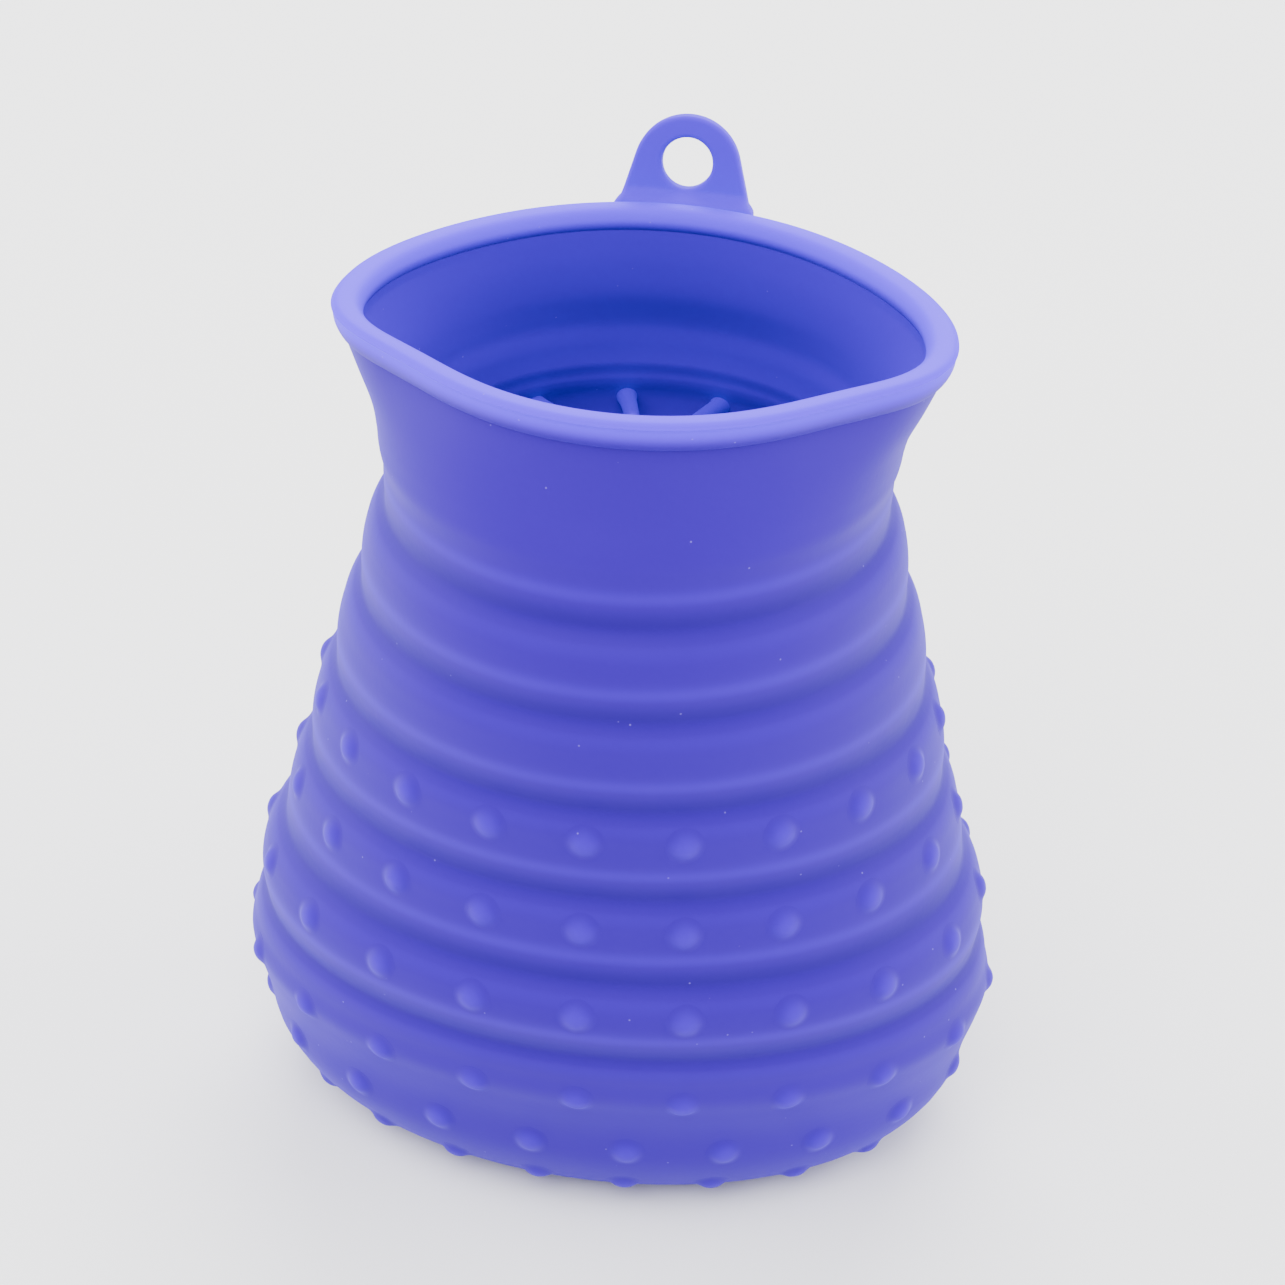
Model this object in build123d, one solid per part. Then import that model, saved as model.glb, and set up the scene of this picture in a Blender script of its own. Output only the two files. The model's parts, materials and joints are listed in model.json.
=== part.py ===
from build123d import *
from math import asin, cos, exp, hypot, pi, radians, sin
import os

os.makedirs("parts", exist_ok=True)

# Paw washer cup, one silicone moulding, split into the regions that its ring folds let move.
# Millimetres. Origin: centre of the flat bottom. +Z up, -Y front, +Y the side with the tab.

# ---------------------------------------------------------------- driving dimensions

WALL = 2.2            # silicone wall of the firm regions
WEB_WALL = 1.5        # thinner wall at the middle of a fold

# The lip above each ring fold, from the top down: half width, half depth, height.
LIPS = [
    (34.2, 37.1, 105.0),
    (36.9, 39.6, 92.5),
    (40.5, 40.2, 79.0),
    (44.3, 39.9, 65.0),
    (47.9, 40.0, 51.7),
    (52.3, 41.2, 39.0),
]
FOLD_TOP = 2.4        # from a lip down to the top of its fold web
FOLD_MIDDLE = 5.2     # from a lip down to the deepest part of the fold
FOLD_END = 6.8        # from a lip down to the band below
FOLD_DEPTH = 1.1      # how far the fold is set in
FOLD_ROLL = 0.35      # how far the wall has rolled in where a fold web starts
FOLD_GAP = 0.3        # clearance over a web, so that the region above it can move
BAND_BULGE = 0.3      # crown of a band between two folds

# Upper part of the bowl, below the last fold: half width, half depth, height.
BOWL = [(53.2, 40.1, 32.2), (53.8, 39.2, 28.5), (54.0, 37.9, 23.5), (52.2, 35.6, 15.4)]
FLAT = (35.8, 22.3)   # half width and half depth of the flat that the cup stands on
TURN_POWER = 1.12     # 1 is a circular turn from the wall to the flat, more is a slanted one
FLOOR = 3.0           # thickness of the bottom

# Mouth outline: radius from the axis, by the angle from the front.
MOUTH_FRONT = 34.7
MOUTH_BACK = 36.0
CORNER_PULL = 6.0     # how far the two corners are pulled out
CORNER_ANGLE = 80.0   # where the corners lie, degrees from the front
CORNER_FRONT = 20.0   # how far a corner spreads to the front, degrees
CORNER_BACK = 37.0    # and to the back

RIM_TOP = 127.0
RIM_PARTING = 126.2   # the widest line of the bead
RIM_MIDDLE = 124.7
RIM_BOTTOM = 122.8
RIM_OVERHANG = 1.6    # how far the bead stands out over the neck
RIM_WIDTH = 4.2

# Neck between the first lip and the rim: half width, half depth, height, share of the mouth's
# outline in the section.
NECK = [
    (34.2, 37.1, 105.3, 0.0),
    (34.8, 36.9, 108.0, 0.0),
    (35.3, 36.3, 110.6, 0.0),
    (35.5, 35.5, 112.6, 0.05),
    (35.5, 34.6, 116.0, 0.32),
    (35.5, 33.6, 119.4, 0.72),
]

BUMP_HEIGHTS = [68.9, 54.8, 41.4, 25.4, 13.9, 5.2]
BUMPS = 20            # bumps in a row
BUMP_RADIUS = 2.5
BUMP_SINK = 1.4       # how far a bump's centre lies under the surface
STAGGERED_BUMPS = (5, 6)

BRISTLE_HEIGHTS = [96.2, 83.8, 70.0, 56.3, 42.8, 25.4]
BRISTLES = 16         # bristles in a row
BRISTLE_ROOT = 1.3    # radius at the wall
BRISTLE_TIP = 1.0     # radius at the tip
BRISTLE_LENGTH = 17.0
BRISTLE_RISE = 12.5   # degrees that a bristle rises towards the mouth

TAB_THICK = 2.6
TAB_LEAN = 10.0       # degrees that the tab leans back
TAB_PIVOT = (0.0, 38.4, 126.7)
TAB_CLEAR = 0.5       # from the pivot line to the tab, and to its root
TAB_ROOT_HALF = 8.9   # half width at the root
TAB_ARC = 7.6         # radius of the rounded top
TAB_ARC_UP = 4.2      # from the pivot up to the centre of that radius
HOLE_RADIUS = 3.6
HOLE_UP = 5.1         # from the pivot up to the hole's centre
ROOT_BOTTOM = 123.4
ROOT_REACH = 1.2      # how far the root reaches in towards the bead

SECTION_POINTS = 36


# ---------------------------------------------------------------- sections

def mouth_radius(angle):
    """Radius of the mouth's outline at an angle from the front, in radians."""
    away = abs(angle) - radians(CORNER_ANGLE)
    spread = radians(CORNER_FRONT if away < 0 else CORNER_BACK)
    round_part = MOUTH_FRONT + (MOUTH_BACK - MOUTH_FRONT) * (1 - cos(angle)) / 2
    return round_part + CORNER_PULL * exp(-((away / spread) ** 2))


def section(height, half_width, half_depth, mouth_share=0.0, mouth_inset=0.0, inset=0.0):
    """A closed smooth section: an ellipse, mixed with the mouth's outline near the rim."""
    points = []
    for i in range(SECTION_POINTS):
        angle = pi - 2 * pi * i / SECTION_POINTS
        across = hypot(half_depth * sin(angle), half_width * cos(angle))
        ellipse = half_width * half_depth / across
        mouth = mouth_radius(angle) - mouth_inset
        radius = (1 - mouth_share) * ellipse + mouth_share * mouth - inset
        points.append((radius * sin(angle), -radius * cos(angle), height))
    return make_face(Spline(*points, periodic=True))


def rim_section(height, inset):
    return section(height, MOUTH_FRONT, MOUTH_FRONT, 1.0, inset)


def tube(outer, inner):
    """The solid between two lofts. Each is a list of sections, from the top down."""
    return loft(outer) - loft(inner)


def bowl_rows():
    """Half width, half depth and height of the bowl's sections, from the top down."""
    side_width, side_depth, turn_height = BOWL[-1]
    rows = list(BOWL)
    for step in range(1, 7):
        turn = radians(15 * step)
        out = cos(turn) ** TURN_POWER if step < 6 else 0.0
        down = sin(turn) ** TURN_POWER
        rows.append((
            FLAT[0] + (side_width - FLAT[0]) * out,
            FLAT[1] + (side_depth - FLAT[1]) * out,
            turn_height * (1 - down) if step < 6 else 0.0,
        ))
    return rows


def outside(height):
    """Half width and half depth at a height: on the line from lip to lip, or of the bowl."""
    line = LIPS + bowl_rows()
    for upper, lower in zip(line, line[1:]):
        if lower[2] <= height <= upper[2]:
            share = (upper[2] - height) / (upper[2] - lower[2])
            return [u + share * (w - u) for u, w in zip(upper[:2], lower[:2])]
    raise ValueError(height)


def ring_section(height, proud, inset=0.0):
    """A section of a band or a web, so far proud of the line from lip to lip."""
    half_width, half_depth = outside(height)
    return section(height, half_width + proud, half_depth + proud, inset=inset)


def around(half_width, half_depth, count, offset):
    """Angles of points that are evenly spaced along an ellipse, starting at the front."""
    steps = 720
    lengths = [0.0]
    for i in range(steps):
        angle = 2 * pi * (i + 0.5) / steps
        lengths.append(lengths[-1] + hypot(half_width * cos(angle), half_depth * sin(angle)))
    angles = []
    for k in range(count):
        wanted = lengths[-1] * (k + offset) / count
        i = next(j for j in range(steps) if lengths[j + 1] >= wanted)
        inside = (wanted - lengths[i]) / (lengths[i + 1] - lengths[i])
        angles.append(2 * pi * (i + inside) / steps)
    return angles


# ---------------------------------------------------------------- mouth region

def rim_bead():
    """Outside and inside of the bead, as two solids."""
    outer = [
        rim_section(RIM_TOP, 0.9),
        rim_section(RIM_PARTING, 0.0),
        rim_section(RIM_MIDDLE, 0.2),
        rim_section(RIM_BOTTOM, 1.2),
    ]
    inner = [
        rim_section(RIM_TOP, RIM_WIDTH - 0.7),
        rim_section(RIM_MIDDLE + 0.5, RIM_WIDTH),
        rim_section(RIM_BOTTOM, RIM_WIDTH - 0.3),
    ]
    return loft(outer), loft(inner)


def neck_collar():
    outer, inner = [rim_section(RIM_BOTTOM, RIM_OVERHANG)], []
    inner.append(rim_section(RIM_BOTTOM, RIM_OVERHANG + WALL))
    for half_width, half_depth, height, share in reversed(NECK):
        outer.append(section(height, half_width, half_depth, share, RIM_OVERHANG))
        inner.append(section(height, half_width, half_depth, share, RIM_OVERHANG, WALL))
    half_width, half_depth, height = LIPS[0]
    bottom = height - FOLD_TOP + FOLD_GAP
    outer.append(section(bottom, half_width, half_depth, inset=FOLD_ROLL))
    inner.append(section(bottom, half_width, half_depth, inset=FOLD_ROLL + WALL))
    return tube(outer, inner)


def tab_plane():
    lean = radians(TAB_LEAN)
    return Plane(TAB_PIVOT, x_dir=(1, 0, 0), z_dir=(0, -cos(lean), sin(lean)))


def hanging_tab():
    arc = Pos(0, TAB_ARC_UP) * Circle(TAB_ARC)
    # The sides touch the arc and run down to the root.
    to_root = hypot(TAB_ROOT_HALF, TAB_ARC_UP - TAB_CLEAR)
    turn = asin((TAB_ARC_UP - TAB_CLEAR) / to_root)
    touch = pi / 2 - asin(TAB_ARC / to_root)
    tangent = (TAB_ARC * cos(touch - turn), TAB_ARC_UP + TAB_ARC * sin(touch - turn))
    skirt = Polyline(
        (-TAB_ROOT_HALF, TAB_CLEAR),
        (TAB_ROOT_HALF, TAB_CLEAR),
        tangent,
        (-tangent[0], tangent[1]),
        close=True,
    )
    outline = arc + make_face(skirt) - Pos(0, -TAB_ARC) * Rectangle(40, 2 * TAB_ARC + 2 * TAB_CLEAR)
    outline -= Pos(0, HOLE_UP) * Circle(HOLE_RADIUS)
    return extrude(tab_plane() * outline, TAB_THICK / 2, both=True)


def tab_root(bead_outside):
    """Soft root of the tab, on the back of the bead."""
    x, y, z = TAB_PIVOT
    top = z - TAB_CLEAR
    size = (2 * TAB_ROOT_HALF, TAB_THICK + 2 * ROOT_REACH, top - ROOT_BOTTOM)
    block = Pos(x, y - ROOT_REACH, (ROOT_BOTTOM + top) / 2) * Box(*size)
    return block - bead_outside


# ---------------------------------------------------------------- body regions

def band(number):
    """The firm ring between fold `number` and the next one."""
    upper, lower = LIPS[number - 1], LIPS[number]
    top = upper[2] - FOLD_END
    bottom = lower[2] - FOLD_TOP + FOLD_GAP
    crown = (top + lower[2]) / 2
    rows = [(top, -FOLD_ROLL), (crown, BAND_BULGE), (lower[2], 0.1), (bottom, -FOLD_ROLL)]
    outer = [ring_section(height, proud) for height, proud in rows]
    inner = [ring_section(height, proud, WALL) for height, proud in rows]
    return loft(outer), loft(inner)


def fold_web(number):
    """The soft web of a ring fold. It is set in between the lip and the next region."""
    lip = LIPS[number - 1][2]
    rows = [
        (lip - FOLD_TOP, -FOLD_ROLL, WALL),
        (lip - FOLD_MIDDLE, -FOLD_DEPTH, WEB_WALL),
        (lip - FOLD_END, -FOLD_ROLL, WALL),
    ]
    outer = [ring_section(height, proud) for height, proud, wall in rows]
    inner = [ring_section(height, proud, wall) for height, proud, wall in rows]
    return tube(outer, inner)


def base_bowl():
    rows = bowl_rows()
    top = rows[0][2]
    outer = [section(height, half_width, half_depth) for half_width, half_depth, height in rows]
    inner = []
    for half_width, half_depth, height in rows:
        # The inside follows the outside, and ends on the thicker floor.
        inner_height = FLOOR + height * (top - FLOOR) / top
        inner.append(section(inner_height, half_width, half_depth, inset=WALL))
    return loft(outer), loft(inner)


# ---------------------------------------------------------------- bumps and bristles

def bump_row(number, outer_solid):
    """Round bumps on the outside, cut flush with the wall that they stand on."""
    height = BUMP_HEIGHTS[number - 1]
    half_width, half_depth = outside(height)
    above, below = outside(height + 1), outside(height - 1)
    offset = 0.5 if number in STAGGERED_BUMPS else 0.0
    bumps = []
    for angle in around(half_width, half_depth, BUMPS, offset):
        x, y = half_width * sin(angle), -half_depth * cos(angle)
        level = Vector(x / half_width**2, y / half_depth**2, 0).normalized()
        spread = [(a - b) / 2 for a, b in zip(above, below)]
        slope = spread[0] * sin(angle) ** 2 + spread[1] * cos(angle) ** 2
        normal = (level - Vector(0, 0, slope)).normalized()
        centre = Vector(x, y, height) - normal * BUMP_SINK
        bumps.append(Plane(centre, z_dir=normal) * Sphere(BUMP_RADIUS) - outer_solid)
    return bumps


def bristle_row(number, ring):
    """Bristles that stand inwards and slightly up, cut flush with the inside of the wall."""
    height = BRISTLE_HEIGHTS[number - 1]
    half_width, half_depth = [half - WALL / 2 for half in outside(height)]
    rise = radians(BRISTLE_RISE)
    bristles = []
    for angle in around(half_width, half_depth, BRISTLES, 0.5 if number % 2 else 0.0):
        root = Vector(half_width * sin(angle), -half_depth * cos(angle), height)
        inward = Vector(-root.X, -root.Y, 0).normalized() * cos(rise) + Vector(0, 0, sin(rise))
        length = BRISTLE_LENGTH + WALL / 2 - BRISTLE_TIP
        rod = Cone(BRISTLE_ROOT, BRISTLE_TIP, length, align=(Align.CENTER, Align.CENTER, Align.MIN))
        rod += Pos(0, 0, length) * Sphere(BRISTLE_TIP)
        bristles.append(Plane(root, z_dir=inward) * rod - ring)
    return bristles


# ---------------------------------------------------------------- export

def save(node, shapes):
    """Write one node. A node of repeated pieces is a group of separate solids."""
    solids = [solid for shape in shapes for solid in shape.solids()]
    body = solids[0] if len(solids) == 1 else Compound(label=node, children=solids)
    body.label = node
    export_step(body, f"parts/{node}.step")


def main():
    outer, inner = rim_bead()
    save("rim_bead", [outer - inner])
    save("neck_collar", [neck_collar()])
    save("hanging_tab", [hanging_tab()])
    save("tab_root", [tab_root(outer)])

    for number in range(1, 7):
        save(f"fold_web_{number}", [fold_web(number)])

    for number in range(1, 6):
        outer, inner = band(number)
        ring = outer - inner
        save(f"band_{number}", [ring])
        save(f"bristle_row_{number}", bristle_row(number, ring))
        if number >= 3:
            save(f"bump_row_{number - 2}", bump_row(number - 2, outer))

    outer, inner = base_bowl()
    bowl = outer - inner
    save("base_bowl", [bowl])
    save("bristle_row_6", bristle_row(6, bowl))
    for number in (4, 5, 6):
        save(f"bump_row_{number}", bump_row(number, outer))


main()
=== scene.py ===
import json
from math import asin, cos, hypot, pi, radians, sin

import bpy
import numpy as np
from mathutils import Matrix, Vector


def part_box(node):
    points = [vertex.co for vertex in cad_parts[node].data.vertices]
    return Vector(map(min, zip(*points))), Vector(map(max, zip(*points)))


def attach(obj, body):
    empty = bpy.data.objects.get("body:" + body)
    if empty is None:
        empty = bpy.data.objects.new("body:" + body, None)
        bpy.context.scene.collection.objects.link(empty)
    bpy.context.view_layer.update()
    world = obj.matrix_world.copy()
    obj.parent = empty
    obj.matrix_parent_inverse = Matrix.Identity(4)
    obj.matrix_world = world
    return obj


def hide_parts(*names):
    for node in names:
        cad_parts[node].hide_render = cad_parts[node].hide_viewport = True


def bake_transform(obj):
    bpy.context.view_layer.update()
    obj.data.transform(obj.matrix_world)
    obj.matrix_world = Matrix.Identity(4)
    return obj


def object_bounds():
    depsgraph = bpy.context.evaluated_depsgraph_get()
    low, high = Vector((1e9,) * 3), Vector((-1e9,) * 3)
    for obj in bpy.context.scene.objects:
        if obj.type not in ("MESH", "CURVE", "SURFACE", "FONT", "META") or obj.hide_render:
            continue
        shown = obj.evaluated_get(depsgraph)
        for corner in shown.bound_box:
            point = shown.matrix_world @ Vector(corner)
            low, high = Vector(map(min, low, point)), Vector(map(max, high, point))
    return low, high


# Paw washer cup in soft silicone. Sizes are in millimetres, and turn into metres in mesh().
# Every outline is measured on the CAD frame. This file adds the soft section of the folds,
# the moulded rim, the domes, the bristles, the tab and the silicone itself.

MM = 0.001
AROUND = 288          # points round the cup
WAVES = 30            # waves round the cup that a measured outline keeps
RAY_START = 0.2       # metres from the axis, outside the whole cup
RAY_CLEAR = 6.0       # a ray onto the wall starts so far outside it
ROW_GAP = 3           # degrees between two pieces of a row
SHARP = 42            # degrees between two faces from which their edge looks sharp

WALL = 2.2
WEB_WALL = 1.5
FLOOR = 3.0
LIP_UP = 2.1          # a lip lies so far above the lower end of its region
TURN_SHARE = 0.46     # share of the bowl's height at which its wall turns in to the bottom
TURN_ANGLE = 2.0      # degrees between two rings of the bowl below that turn
INSIDE_END = 4        # the inner skin of the bottom goes in as far as this radius

# Where the outline is measured: shares of the turn's height, and so many heights in the neck.
BOWL_MEASURES = (1.0, 1.16, 1.31, 1.52, 1.73, 1.94)
NECK_MEASURES = 5
NECK_CLEAR = 0.1

# Rings down each outer skin.
NECK_RINGS = 64
BAND_RINGS = 30
WEB_RINGS = 26
BOWL_RINGS = 34

# Section of a ring fold: height over its lip, and how far the skin stands proud there.
FOLD = [
    (2.5, 0.28), (1.2, 0.26), (0.0, 0.17), (-1.2, 0.0), (-2.5, -0.28), (-4.0, -0.70),
    (-5.1, -1.0), (-5.7, -1.03), (-6.4, -0.72), (-7.3, -0.22), (-8.3, 0.12), (-9.4, 0.28),
]
# Painted light and shade along each fold, by height over its lip: a painted highlight along the
# lip, painted shade deep in the fold and a faint painted highlight on the shoulder under it.
FOLD_LIGHT_AND_SHADE = [
    (2.0, -0.02), (0.4, 0.02), (-1.0, 0.15), (-2.2, 0.0), (-3.2, -0.20), (-4.2, -0.36),
    (-5.0, -0.38), (-5.9, -0.22), (-6.9, -0.02), (-7.8, 0.05), (-9.4, 0.0),
]
WEB_MIDDLE = -5.2     # where the wall of a fold is thinnest
WEB_SPREAD = 2.4      # and how far from there it has its full thickness
NECK_FADE = 3         # over so much height the folds run out into the neck
BOWL_FADE = 8         # and into the bowl

# Section of the bead: inset from the mouth's outline, and depth under the top.
BEAD = [
    (1.5, 0.0), (0.8, 0.08), (0.35, 0.30), (0.16, 0.52), (0.0, 0.66), (0.0, 0.80),
    (0.13, 0.94), (0.17, 1.2), (0.22, 1.8), (0.35, 2.5), (0.7, 3.3), (1.15, 3.95),
    (1.5, 4.2), (1.9, 4.0), (2.6, 3.3), (3.5, 3.15), (3.75, 3.0), (4.1, 2.5),
    (4.2, 1.8), (3.95, 1.1), (3.55, 0.55), (3.0, 0.2), (2.2, 0.02),
]
BEAD_PIECES = 4       # pieces between two knots of that section
PARTING = 0.75        # depth of the bead's widest line under its top
BEAD_LIGHT_FADE = (1.2, 3.8)  # depths between which the painted light on the bead runs out
NECK_INTO_BEAD = 1.1

# Section of a bump: radius, and height over the wall. It runs out into the wall.
BUMP = [
    (0.0, 0.82), (0.4, 0.80), (0.8, 0.73), (1.15, 0.61), (1.45, 0.46), (1.75, 0.29),
    (2.0, 0.165), (2.25, 0.08), (2.5, 0.03), (2.75, 0.012), (2.75, -0.4),
]
BUMP_COLUMNS = 28
BUMP_SUNK = 0.6
BUMPED_BANDS = {1: 3, 2: 4, 3: 5}   # the band under each of the upper rows of bumps

BRISTLE_RADII = (1.32, 1.0)         # at the root and at the tip
# Root of a bristle: height over the wall, and how much thicker it is there.
BRISTLE_ROOT = [(-0.9, 0.05), (-0.2, 0.18), (0.2, 0.2), (0.6, 0.12), (1.1, 0.05), (1.8, 0.01)]
BRISTLE_COLUMNS = 20
BRISTLE_END = 0.6     # the points so near to an end of the CAD's bristle give that end
TIP_SPREAD = 0.35     # a tip lies up to so far off its place
SEED = 7

TAB_THICK = 2.6
TAB_LEAN = 10.0
TAB_ARC = 7.6
TAB_ARC_UP = 4.2
HOLE_RADIUS = 3.6
HOLE_UP = 5.1
TAB_EDGE = 0.6        # radius of the rounded edges
TAB_ROOT_HALF = 8.9
TAB_CLEAR = 0.5
# The foot beside the root: across from the root's side, and up from the pivot.
TAB_FOOT = [
    (0.22, -0.1), (0.6, -0.55), (1.0, -1.2), (0.9, -2.2), (0.1, -3.0), (-2.0, -3.3), (-5.0, -3.3),
]
ARC_KNOTS = 9
TAB_PIECES = 12
TAB_COLUMNS = 192
FACE_RINGS = 14       # steps across the tab's face, from the hole to the edge
EDGE_TURNS = (0, 22, 45, 68, 90)    # degrees round a rounded edge
# The root's front and back lie so much further forward, below these heights over the pivot.
ROOT_FRONT = (1.9, -0.8, 1.3)
ROOT_BACK = (2.4, -3.4, -0.2)

# Painted light and shade on each part, from -1 for the deepest painted shade to 1 for the palest
# painted light.
BUMP_HIGHLIGHT = 0.25
BRISTLE_LIGHT = 0.75
INSIDE_LIGHT = 0.33
RIM_LIGHT = 1.0
TAB_LIGHT = 0.6

# Colour ramp of the silicone: darkest where painted shade is strongest, its own blue between, and
# palest where painted light is strongest.
SHADE_BLUE = (0.005, 0.0005, 0.075, 1)
BLUE = (0.030, 0.0018, 0.268, 1)
LIT_BLUE = (0.085, 0.008, 0.9, 1)
DUST = (0.20, 0.14, 0.75, 1)
SHEEN = (0.12, 0.06, 1.0, 1)
GLOSS = (0.35, 0.25, 1.0, 1)

FLOOR_GAP = 0.05      # the floor lies just clear of the flat bottom
FLOOR_HALF = 3.0      # metres
FLOOR_COLOUR = (0.92, 0.92, 0.93, 1)
SKY = 1.1
# Softboxes: place and size in metres, and power. They face a point on the axis.
SOFTBOXES = {
    "key": ((-0.15, -0.7, 1.1), (1.0, 1.0), 24),
    "back": ((0.0, 1.0, 0.9), (1.2, 0.8), 28),
    "left": ((-1.0, 0.1, 0.45), (0.8, 0.8), 13),
    "right": ((1.0, 0.1, 0.45), (0.8, 0.8), 13),
}
LIGHT_AIM = Vector((0, 0, 0.06))

AZIMUTH = 6.87
ELEVATION = 30.82
ROLL = 2.7
DISTANCE = 433.2
LENS = 84.05
SENSOR = 36.0
AIM_OFF = Vector((0, 12.6, -1.0))   # from the middle of the CAD's box

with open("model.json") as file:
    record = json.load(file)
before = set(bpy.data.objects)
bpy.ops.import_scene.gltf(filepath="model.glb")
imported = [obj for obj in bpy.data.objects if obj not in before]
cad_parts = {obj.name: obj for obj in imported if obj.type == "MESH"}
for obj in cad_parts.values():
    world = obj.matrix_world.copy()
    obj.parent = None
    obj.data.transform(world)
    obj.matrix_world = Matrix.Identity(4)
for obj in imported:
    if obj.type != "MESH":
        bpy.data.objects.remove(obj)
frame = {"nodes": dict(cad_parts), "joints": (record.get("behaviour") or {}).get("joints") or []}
cad_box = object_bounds()
turn = np.arange(AROUND) * 2 * pi / AROUND
OUT = np.stack([np.sin(turn), -np.cos(turn), np.zeros(AROUND)], axis=1)


# ---------------------------------------------------------------- measuring the CAD

def top(name):
    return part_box(name)[1].z / MM


def bottom(name):
    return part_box(name)[0].z / MM


def smoothed(values):
    """Values round the cup without the facets of the CAD's mesh."""
    waves = np.fft.rfft(values)
    waves[WAVES:] = 0
    return np.fft.irfft(waves, AROUND)


def reach(name, height, fall=0.0):
    """Distances from the axis to a CAD node's outside, looking down by an angle."""
    cad = frame["nodes"][name]
    centre = Vector((0, 0, height * MM))
    distances = []
    for out in OUT:
        ray = Vector(out) * cos(fall) - Vector((0, 0, sin(fall)))
        place = cad.ray_cast(centre + ray * RAY_START, -ray)[1]
        distances.append((place - centre).length / MM)
    return smoothed(np.array(distances))


def clusters(name):
    """Corner points of each separate piece of a row, in order round the cup."""
    points = np.array([v.co for v in frame["nodes"][name].data.vertices]) / MM
    angle = np.arctan2(points[:, 0], -points[:, 1])
    order = np.argsort(angle)
    points, angle = points[order], angle[order]
    gaps = np.nonzero(np.diff(angle) > radians(ROW_GAP))[0] + 1
    groups = np.split(points, gaps)
    if angle[0] + 2 * pi - angle[-1] < radians(ROW_GAP):
        groups[0] = np.concatenate([groups.pop(), groups[0]])
    return groups


# ---------------------------------------------------------------- curves

def hermite(x, knots, values):
    """A smooth curve through values at rising knots. The values may be numbers or rings."""
    x = min(max(x, knots[0]), knots[-1])
    i = min(int(np.searchsorted(knots, x, side="right")) - 1, len(knots) - 2)
    step = knots[i + 1] - knots[i]

    def slope(k):
        low, high = max(k - 1, 0), min(k + 1, len(knots) - 1)
        return (values[high] - values[low]) / (knots[high] - knots[low])

    t = (x - knots[i]) / step
    return (
        (1 + 2 * t) * (1 - t) ** 2 * values[i]
        + t * (1 - t) ** 2 * step * slope(i)
        + t * t * (3 - 2 * t) * values[i + 1]
        - t * t * (1 - t) * step * slope(i + 1)
    )


def closed_curve(knots, pieces):
    """Points of a closed smooth curve through the knots, with so many pieces between two."""
    p = np.array(knots, float)
    before, after, second = (np.roll(p, shift, axis=0) for shift in (1, -1, -2))
    points = []
    for i in range(len(p)):
        for t in np.arange(pieces) / pieces:
            points.append(0.5 * (
                2 * p[i]
                + (after[i] - before[i]) * t
                + (2 * before[i] - 5 * p[i] + 4 * after[i] - second[i]) * t**2
                + (3 * p[i] - before[i] - 3 * after[i] + second[i]) * t**3
            ))
    return np.array(points)


def smoothstep(x, start, end):
    """A soft step from 0 at the start to 1 at the end."""
    t = np.clip((x - start) / (end - start), 0, 1)
    return t * t * (3 - 2 * t)


def close_at_ends(start, end, count):
    """Steps from start to end that get finer towards both."""
    return start + (end - start) * (1 - np.cos(np.linspace(0, pi, count))) / 2


# ---------------------------------------------------------------- meshes

def mesh(name, points, faces, painted_light):
    """A smooth silicone piece, with painted light or painted shade on each point, from -1 to 1."""
    data = bpy.data.meshes.new(name)
    data.from_pydata((np.asarray(points) * MM).tolist(), [], faces)
    data.polygons.foreach_set("use_smooth", [True] * len(faces))
    data.set_sharp_from_angle(angle=radians(SHARP))
    data.materials.append(silicone)
    painted_lights = data.attributes.new("painted_light", "FLOAT", "POINT")
    painted_lights.data.foreach_set("value", np.asarray(painted_light, np.float32))
    piece = bpy.data.objects.new(name, data)
    bpy.context.collection.objects.link(piece)
    return piece


def joined_rings(rings, close=True, first=0):
    """Faces between rings of points in order. A ring of one point is a pole."""
    starts = first + np.cumsum([0] + [len(ring) for ring in rings])
    faces = []
    for i in range(len(rings) if close else len(rings) - 1):
        k = (i + 1) % len(rings)
        a, b = int(starts[i]), int(starts[k])
        count_a, count_b = len(rings[i]), len(rings[k])
        count = max(count_a, count_b)
        for j in range(count if count > 1 else 0):
            n = (j + 1) % count
            if count_a == 1:
                faces.append((a, b + j, b + n))
            elif count_b == 1:
                faces.append((a + j, b, a + n))
            else:
                faces.append((a + j, b + j, b + n, a + n))
    return faces


def ring_mesh(name, rings, painted_lights):
    """A closed skin of rings, with one value of painted light or shade for each ring."""
    painted_light = np.repeat(painted_lights, [len(ring) for ring in rings])
    return mesh(name, np.concatenate(rings), joined_rings(rings), painted_light)


def level(radius, height):
    """A ring of points at one height."""
    ring = OUT * np.reshape(radius, (-1, 1))
    ring[:, 2] = height
    return ring


# ---------------------------------------------------------------- material

def add_node(tree, kind, inputs, **settings):
    """A shader node, with each input linked to a socket or set to a value."""
    made = tree.nodes.new(kind)
    for key, value in settings.items():
        setattr(made, key, value)
    for key, value in inputs.items():
        if isinstance(value, bpy.types.NodeSocket):
            tree.links.new(value, made.inputs[key])
        else:
            made.inputs[key].default_value = value
    return made


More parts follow.
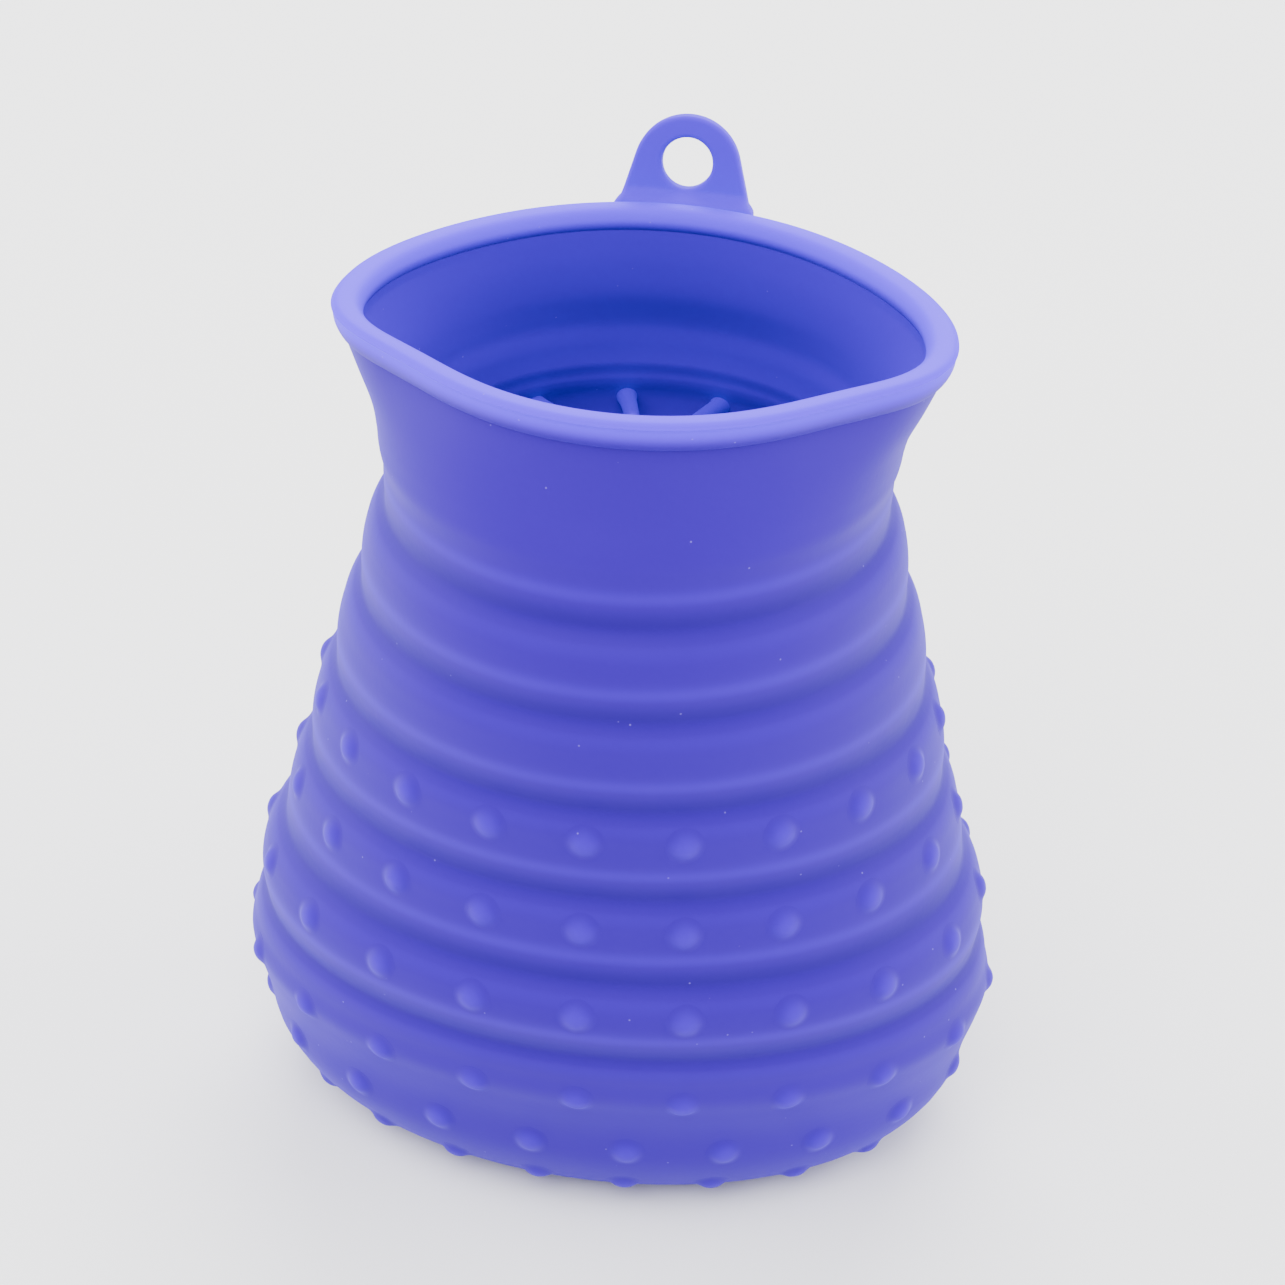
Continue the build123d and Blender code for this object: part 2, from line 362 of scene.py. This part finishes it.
def silicone_colour(tree, place, clouds):
    """The blue of each point, with its painted light or shade, faint clouds and a little dust."""
    painted_light = add_node(tree, "ShaderNodeAttribute", {}, attribute_name="painted_light").outputs["Fac"]
    cloudy = add_node(tree, "ShaderNodeMapRange", {
        "Value": clouds.outputs["Fac"], "To Min": -0.04, "To Max": 0.04,
    })
    both = {0: painted_light, 1: cloudy.outputs["Result"]}
    toned = add_node(tree, "ShaderNodeMath", both, operation="ADD")
    share = add_node(tree, "ShaderNodeMapRange", {
        "Value": toned.outputs["Value"], "From Min": -1.0,
    })
    colour = add_node(tree, "ShaderNodeValToRGB", {"Fac": share.outputs["Result"]})
    ramp = colour.color_ramp.elements
    ramp[0].color = SHADE_BLUE
    ramp[1].color = LIT_BLUE
    ramp.new(0.5).color = BLUE

    specks = add_node(tree, "ShaderNodeTexVoronoi", {"Vector": place, "Scale": 260.0})
    speck = add_node(tree, "ShaderNodeMapRange", {
        "Value": specks.outputs["Distance"],
        "From Min": 0.02, "From Max": 0.045, "To Min": 0.5, "To Max": 0.0,
    })
    return add_node(tree, "ShaderNodeMixRGB", {
        "Fac": speck.outputs["Result"], "Color1": colour.outputs["Color"], "Color2": DUST,
    })


def silicone_surface(tree, place):
    """The soft unevenness of the skin, and the mould's fine grain on it."""
    grain = add_node(tree, "ShaderNodeTexNoise", {"Vector": place, "Scale": 900.0, "Detail": 2.0})
    waves = add_node(tree, "ShaderNodeTexNoise", {"Vector": place, "Scale": 60.0, "Detail": 1.0})
    soft = add_node(tree, "ShaderNodeBump", {
        "Height": waves.outputs["Fac"], "Strength": 0.25, "Distance": 0.0006,
    })
    return add_node(tree, "ShaderNodeBump", {
        "Height": grain.outputs["Fac"], "Normal": soft.outputs["Normal"],
        "Strength": 0.35, "Distance": 0.00005,
    })


def silicone_material():
    """Matte royal-blue silicone."""
    material = bpy.data.materials.new("silicone")
    material.use_nodes = True
    tree = material.node_tree
    shader = tree.nodes["Principled BSDF"]
    place = tree.nodes.new("ShaderNodeTexCoord").outputs["Object"]
    clouds = add_node(tree, "ShaderNodeTexNoise", {"Vector": place, "Scale": 38.0, "Detail": 3.0})
    rough = add_node(tree, "ShaderNodeMapRange", {
        "Value": clouds.outputs["Fac"], "To Min": 0.5, "To Max": 0.62,
    })
    colour = silicone_colour(tree, place, clouds)
    surface = silicone_surface(tree, place)

    tree.links.new(colour.outputs["Color"], shader.inputs["Base Color"])
    tree.links.new(rough.outputs["Result"], shader.inputs["Roughness"])
    tree.links.new(surface.outputs["Normal"], shader.inputs["Normal"])
    shader.inputs["IOR"].default_value = 1.42
    shader.inputs["Sheen Weight"].default_value = 0.35
    shader.inputs["Sheen Roughness"].default_value = 0.45
    shader.inputs["Sheen Tint"].default_value = SHEEN
    shader.inputs["Specular IOR Level"].default_value = 0.22
    shader.inputs["Specular Tint"].default_value = GLOSS
    return material


silicone = silicone_material()


# ---------------------------------------------------------------- wall

UPPER = ["neck_collar"] + [f"band_{number}" for number in range(1, 6)]
BODIES = ["mouth"] + [f"ring_{number}" for number in range(1, 6)] + ["base"]
lips = [bottom(name) + LIP_UP for name in UPPER]
neck_top = top("neck_collar")
bowl_top = top("base_bowl")
turn_height = bowl_top * TURN_SHARE


def wall_line():
    """Heights, and the CAD's outline at each, from the turn of the bowl up to the bead."""
    heights, rings = [], []
    for share in BOWL_MEASURES:
        heights.append(turn_height * share)
        rings.append(reach("base_bowl", heights[-1]))
    for name, lip in reversed(list(zip(UPPER, lips))):
        heights.append(lip)
        rings.append(reach(name, lip))
    for height in np.linspace(lips[0], neck_top - NECK_CLEAR, NECK_MEASURES)[1:]:
        heights.append(height)
        rings.append(reach("neck_collar", height))
    return np.array(heights), rings


def at_each_lip(section):
    """Heights and values of a section that repeats at every lip."""
    knots = sorted((lip + up, value) for lip in lips for up, value in section)
    return [np.array(column) for column in zip(*knots)]


line_heights, line_rings = wall_line()
fold_heights, fold_proud = at_each_lip(FOLD)
light_heights, painted_lights = at_each_lip(FOLD_LIGHT_AND_SHADE)


def outside(height):
    """Radius of the outer skin, all the way round, at a height."""
    folds_end = fold_heights[-1] + NECK_FADE
    proud = hermite(height, fold_heights, fold_proud) if height < folds_end else 0.0
    fade = smoothstep(height, folds_end, fold_heights[-1])
    fade *= smoothstep(height, turn_height, turn_height + BOWL_FADE)
    return hermite(height, line_heights, line_rings) + proud * fade


def wall_light_and_shade(height):
    """Painted highlight along a lip and on the shoulder under a fold, and painted shade in the
    fold.
    """
    if not fold_heights[0] < height < fold_heights[-1]:
        return 0.0
    return hermite(height, light_heights, painted_lights)


def thickness(height):
    nearest = min(abs(height - lip - WEB_MIDDLE) for lip in lips)
    return WALL - (WALL - WEB_WALL) * (1 - smoothstep(nearest, 0.0, WEB_SPREAD))


def tube(name, high, low, count):
    """A region of the wall, from one height to another, outer and inner skin."""
    heights = close_at_ends(high, low, count)
    outer = [level(outside(height), height) for height in heights]
    inner = [level(outside(height) - thickness(height), height) for height in heights[::-1]]
    # Painted light and shade: the folds' painted highlights and shade on the outer skin, and the
    # inner skin painted paler, as if lit.
    shades = [wall_light_and_shade(height) for height in heights] + [INSIDE_LIGHT] * count
    return ring_mesh(name, outer + inner, shades)


def bowl():
    """The rounded bowl. Below its turn, the skin is measured looking down from the axis."""
    heights = close_at_ends(bowl_top, turn_height, BOWL_RINGS)
    outer = [level(outside(height), height) for height in heights]
    for step in range(1, int(90 / TURN_ANGLE)):
        fall = radians(TURN_ANGLE * step)
        distance = reach("base_bowl", turn_height, fall)
        outer.append(level(distance * cos(fall), turn_height - distance * sin(fall)))
    inner = []
    for ring in reversed(outer):
        radius = np.hypot(ring[:, 0], ring[:, 1]) - WALL
        if radius.min() > INSIDE_END:
            inner.append(level(radius, FLOOR + ring[:, 2] * (bowl_top - FLOOR) / bowl_top))
    rings = outer + [[(0, 0, 0)], [(0, 0, FLOOR)]] + inner
    # Painted light and shade: the folds' painted highlights and shade on the outer skin, and the
    # inner skin painted paler, as if lit.
    shades = [wall_light_and_shade(ring[0][2]) for ring in outer] + [0.0] + [INSIDE_LIGHT] * (len(inner) + 1)
    return ring_mesh("base_bowl_skin", rings, shades)


def body():
    """Neck, bands, folds and bowl. Gives the piece that each row of bumps stands on."""
    neck = tube("neck_skin", neck_top + NECK_INTO_BEAD, lips[0] - LIP_UP, NECK_RINGS)
    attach(neck, "mouth")
    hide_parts("neck_collar")
    regions = [neck]
    for number in range(1, 6):
        name = f"band_{number}"
        piece = tube(f"{name}_skin", top(name), bottom(name), BAND_RINGS)
        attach(piece, f"ring_{number}")
        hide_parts(name)
        regions.append(piece)
    base = bowl()
    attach(base, "base")
    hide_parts("base_bowl")
    regions.append(base)

    for number in range(1, 7):
        high = lips[number - 1] - LIP_UP
        low = top(f"band_{number}") if number < 6 else bowl_top
        web = tube(f"fold_{number}_skin", high, low, WEB_RINGS)
        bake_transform(web)
        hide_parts(f"fold_web_{number}")
    return regions


# ---------------------------------------------------------------- rim

def bead():
    """The bead round the mouth, with the mould's parting line on its outer edge."""
    name = "rim_bead"
    mouth = reach(name, top(name) - PARTING)
    section = closed_curve(BEAD, BEAD_PIECES)
    rings = [level(mouth - inset, top(name) - depth) for inset, depth in section]
    # Painted light: the bead is painted pale on top, running out further down.
    shades = [RIM_LIGHT * (1 - smoothstep(depth, *BEAD_LIGHT_FADE)) for inset, depth in section]
    piece = ring_mesh("rim_skin", rings, shades)
    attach(piece, "mouth")
    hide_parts(name)


# ---------------------------------------------------------------- bumps and bristles

def across_frame(normal):
    """Two directions across a normal. The first is level."""
    side = Vector((0, 0, 1)).cross(normal).normalized()
    return side, normal.cross(side)


def bump_rings(centre, normal, wall):
    """A dome that runs out into the wall, as rings that follow the wall under them."""
    side, up = across_frame(normal)
    rings = []
    for radius, proud in BUMP:
        count = BUMP_COLUMNS if radius else 1
        ring = []
        for j in range(count):
            angle = 2 * pi * j / count
            place = centre + side * (radius * cos(angle)) + up * (radius * sin(angle))
            spot = wall.ray_cast((place + normal * RAY_CLEAR) * MM, -normal)[1]
            ring.append(spot / MM + normal * proud)
        rings.append(ring)
    return rings + [[centre - normal * BUMP_SUNK]]


def bump_row(number, wall, body_name):
    """A row of domes on the wall, where the CAD's row has them."""
    name = f"bump_row_{number}"
    points, faces, shades = [], [], []
    for group in clusters(name):
        radius = np.hypot(group[:, 0], group[:, 1])
        centre = Vector((group.max(axis=0) + group.min(axis=0)) / 2)
        outward = Vector((centre.x, centre.y, 0)).normalized()
        start = Vector((0, 0, centre.z)) + outward * (radius.max() + RAY_CLEAR)
        hit, spot, normal, face = wall.ray_cast(start * MM, -outward)
        rings = bump_rings(spot / MM, normal, wall)
        faces += joined_rings(rings, close=False, first=len(points))
        points += [point for ring in rings for point in ring]
        # Painted highlight: each dome is painted paler the further it stands out from the wall.
        for (away, proud), ring in zip(BUMP + BUMP[-1:], rings):
            shades += [BUMP_HIGHLIGHT * max(proud, 0) / BUMP[0][1]] * len(ring)
    piece = mesh(f"{name}_skin", points, faces, shades)
    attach(piece, body_name)
    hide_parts(name)


def bristle_rings(root, tip):
    """A tapered rod with a rounded foot and a round tip."""
    along = (tip - root).normalized()
    length = (tip - root).length
    side, up = across_frame(along)
    thick, thin = BRISTLE_RADII
    profile = [(up_rod, thick + more) for up_rod, more in BRISTLE_ROOT]
    for share in (0.2, 0.4, 0.6, 0.8):
        profile.append((share * length, thick + (thin - thick) * share))
    for turned in np.radians([0, 18, 36, 54, 70, 82]):
        profile.append((length - thin + thin * sin(turned), thin * cos(turned)))
    rings = [[root + along * BRISTLE_ROOT[0][0]]]
    for up_rod, radius in profile:
        ring = []
        for j in range(BRISTLE_COLUMNS):
            angle = -2 * pi * j / BRISTLE_COLUMNS
            across = side * (radius * cos(angle)) + up * (radius * sin(angle))
            ring.append(root + along * up_rod + across)
        rings.append(ring)
    return rings + [[tip]]


def bristle_row(number, body_name, chance):
    """A row of bristles from the roots to the tips of the CAD's row."""
    name = f"bristle_row_{number}"
    points, faces = [], []
    for group in clusters(name):
        radius = np.hypot(group[:, 0], group[:, 1])
        tip = Vector(group[radius < radius.min() + BRISTLE_END].mean(axis=0))
        root = Vector(group[radius > radius.max() - BRISTLE_END].mean(axis=0))
        tip += Vector(chance.uniform(-TIP_SPREAD, TIP_SPREAD, 3))
        rings = bristle_rings(root, tip)
        faces += joined_rings(rings, close=False, first=len(points))
        points += [point for ring in rings for point in ring]
    # Painted light: the bristles are painted paler than the wall, as if lit.
    piece = mesh(f"{name}_skin", points, faces, [BRISTLE_LIGHT] * len(points))
    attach(piece, body_name)
    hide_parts(name)


def rows(regions):
    """Six rows of bumps on their regions, and six rows of bristles."""
    chance = np.random.default_rng(SEED)
    for number in range(1, 7):
        region = BUMPED_BANDS.get(number, 6)
        bump_row(number, regions[region], BODIES[region])
        bristle_row(number, BODIES[number], chance)


# ---------------------------------------------------------------- tab

def tab_outline():
    """Outline of the tab and its root, across and up from the pivot, evenly spaced."""
    to_root = hypot(TAB_ROOT_HALF, TAB_ARC_UP - TAB_CLEAR)
    sunk = asin((TAB_ARC_UP - TAB_CLEAR) / to_root)
    touch = pi / 2 - asin(TAB_ARC / to_root) - sunk
    angles = np.linspace(pi / 2, touch, ARC_KNOTS)
    half = [(TAB_ARC * cos(a), TAB_ARC_UP + TAB_ARC * sin(a)) for a in angles]
    side, foot = np.array(half[-1]), np.array([TAB_ROOT_HALF, TAB_CLEAR])
    half += [tuple(side + (foot - side) * share) for share in (0.35, 0.7, 1.0)]
    half += [(x + TAB_ROOT_HALF, y) for x, y in TAB_FOOT]
    knots = half + [(0.0, TAB_FOOT[-1][1])] + [(-x, y) for x, y in reversed(half[1:])]
    curve = closed_curve(knots, TAB_PIECES)
    loop = np.concatenate([curve, curve[:1]])
    walked = np.concatenate([[0], np.cumsum(np.hypot(*np.diff(loop, axis=0).T))])
    even = np.arange(TAB_COLUMNS) * walked[-1] / TAB_COLUMNS
    return np.stack([np.interp(even, walked, loop[:, i]) for i in (0, 1)], axis=1)


def tab_section(outline):
    """Rings from the hole to the outline on the front, and back on the other side."""
    ahead = np.roll(outline, -1, axis=0) - np.roll(outline, 1, axis=0)
    normal = np.stack([-ahead[:, 1], ahead[:, 0]], axis=1)
    normal /= np.hypot(*normal.T)[:, None]
    centre = np.array([0.0, HOLE_UP])
    away = outline - centre
    away /= np.hypot(*away.T)[:, None]
    half = TAB_THICK / 2
    front = []
    for fall in np.radians(EDGE_TURNS):
        radius = HOLE_RADIUS + TAB_EDGE * (1 - cos(fall))
        front.append((centre + away * radius, half - TAB_EDGE * (1 - sin(fall))))
    inner, rim = front[-1][0], outline - normal * TAB_EDGE
    for share in np.arange(1, FACE_RINGS) / FACE_RINGS:
        front.append((inner + (rim - inner) * share, half))
    for fall in np.radians(EDGE_TURNS):
        inset = TAB_EDGE * (1 - sin(fall))
        front.append((outline - normal * inset, half - TAB_EDGE * (1 - cos(fall))))
    return front + [(flat, -depth) for flat, depth in reversed(front)]


def root_forward(up, growth, low, high):
    """How far the root's skin lies forward of the tab's, at heights over the pivot."""
    return growth * (1 - smoothstep(up, low, high))


def tab():
    """Tab and root. The root thickens forwards into the bead, and thins out behind it."""
    joint = next(joint for joint in frame["joints"] if joint["name"] == "tab_bend")
    pivot = Vector(joint["pos_m"]) / MM
    lean = radians(TAB_LEAN)
    up = np.array([0, sin(lean), cos(lean)])
    face = np.array([0, -cos(lean), sin(lean)])
    rings = []
    for flat, depth in reversed(tab_section(tab_outline())):
        front = TAB_THICK / 2 + root_forward(flat[:, 1], *ROOT_FRONT)
        back = -TAB_THICK / 2 + root_forward(flat[:, 1], *ROOT_BACK)
        out = back + (front - back) * (depth / TAB_THICK + 0.5)
        ring = np.array(pivot) + np.outer(out, face) + np.outer(flat[:, 1], up)
        ring[:, 0] += flat[:, 0]
        rings.append(ring)
    # Painted light: the thin tab is painted paler, as if light shone through it.
    piece = ring_mesh("tab_skin", rings, [TAB_LIGHT] * len(rings))
    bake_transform(piece)
    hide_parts("hanging_tab", "tab_root")


# ---------------------------------------------------------------- studio

def floor():
    """A plain pale floor."""
    low = -FLOOR_GAP * MM
    square = [(-1, -1), (1, -1), (1, 1), (-1, 1)]
    data = bpy.data.meshes.new("floor")
    data.from_pydata([(x * FLOOR_HALF, y * FLOOR_HALF, low) for x, y in square], [], [(0, 1, 2, 3)])
    piece = bpy.data.objects.new("floor", data)
    bpy.context.collection.objects.link(piece)
    material = bpy.data.materials.new("floor")
    material.use_nodes = True
    shader = material.node_tree.nodes["Principled BSDF"]
    shader.inputs["Base Color"].default_value = FLOOR_COLOUR
    shader.inputs["Roughness"].default_value = 0.8
    shader.inputs["Specular IOR Level"].default_value = 0.2
    data.materials.append(material)


def softbox(name, place, size, power):
    data = bpy.data.lights.new(name, "AREA")
    data.shape = "RECTANGLE"
    data.size, data.size_y = size
    data.energy = power
    light = bpy.data.objects.new(name, data)
    light.location = place
    light.rotation_euler = (LIGHT_AIM - Vector(place)).to_track_quat("-Z", "Y").to_euler()
    bpy.context.collection.objects.link(light)


def studio():
    """Floor, even white surroundings and softboxes."""
    floor()
    world = bpy.data.worlds.new("studio")
    world.use_nodes = True
    world.node_tree.nodes["Background"].inputs["Color"].default_value = (1, 1, 1, 1)
    world.node_tree.nodes["Background"].inputs["Strength"].default_value = SKY
    bpy.context.scene.world = world
    for name, (place, size, power) in SOFTBOXES.items():
        softbox(name, place, size, power)


def camera():
    """The camera looks down on the front, from slightly right, and is rolled a little."""
    low, high = cad_box
    target = (Vector(low) + Vector(high)) / 2 + AIM_OFF * MM
    turned, raised, roll = radians(AZIMUTH), radians(ELEVATION), radians(ROLL)
    ahead = Vector((-sin(turned) * cos(raised), cos(turned) * cos(raised), -sin(raised)))
    right = Vector((cos(turned), sin(turned), 0))
    above = right.cross(ahead)
    right, above = (
        right * cos(roll) + above * sin(roll),
        above * cos(roll) - right * sin(roll),
    )
    data = bpy.data.cameras.new("camera")
    data.lens = LENS
    data.sensor_width = SENSOR
    eye = bpy.data.objects.new("camera", data)
    bpy.context.collection.objects.link(eye)
    place = Matrix.Translation(target - ahead * DISTANCE * MM)
    eye.matrix_world = place @ Matrix((right, above, -ahead)).transposed().to_4x4()
    bpy.context.scene.camera = eye


regions = body()
bead()
rows(regions)
tab()
studio()
camera()
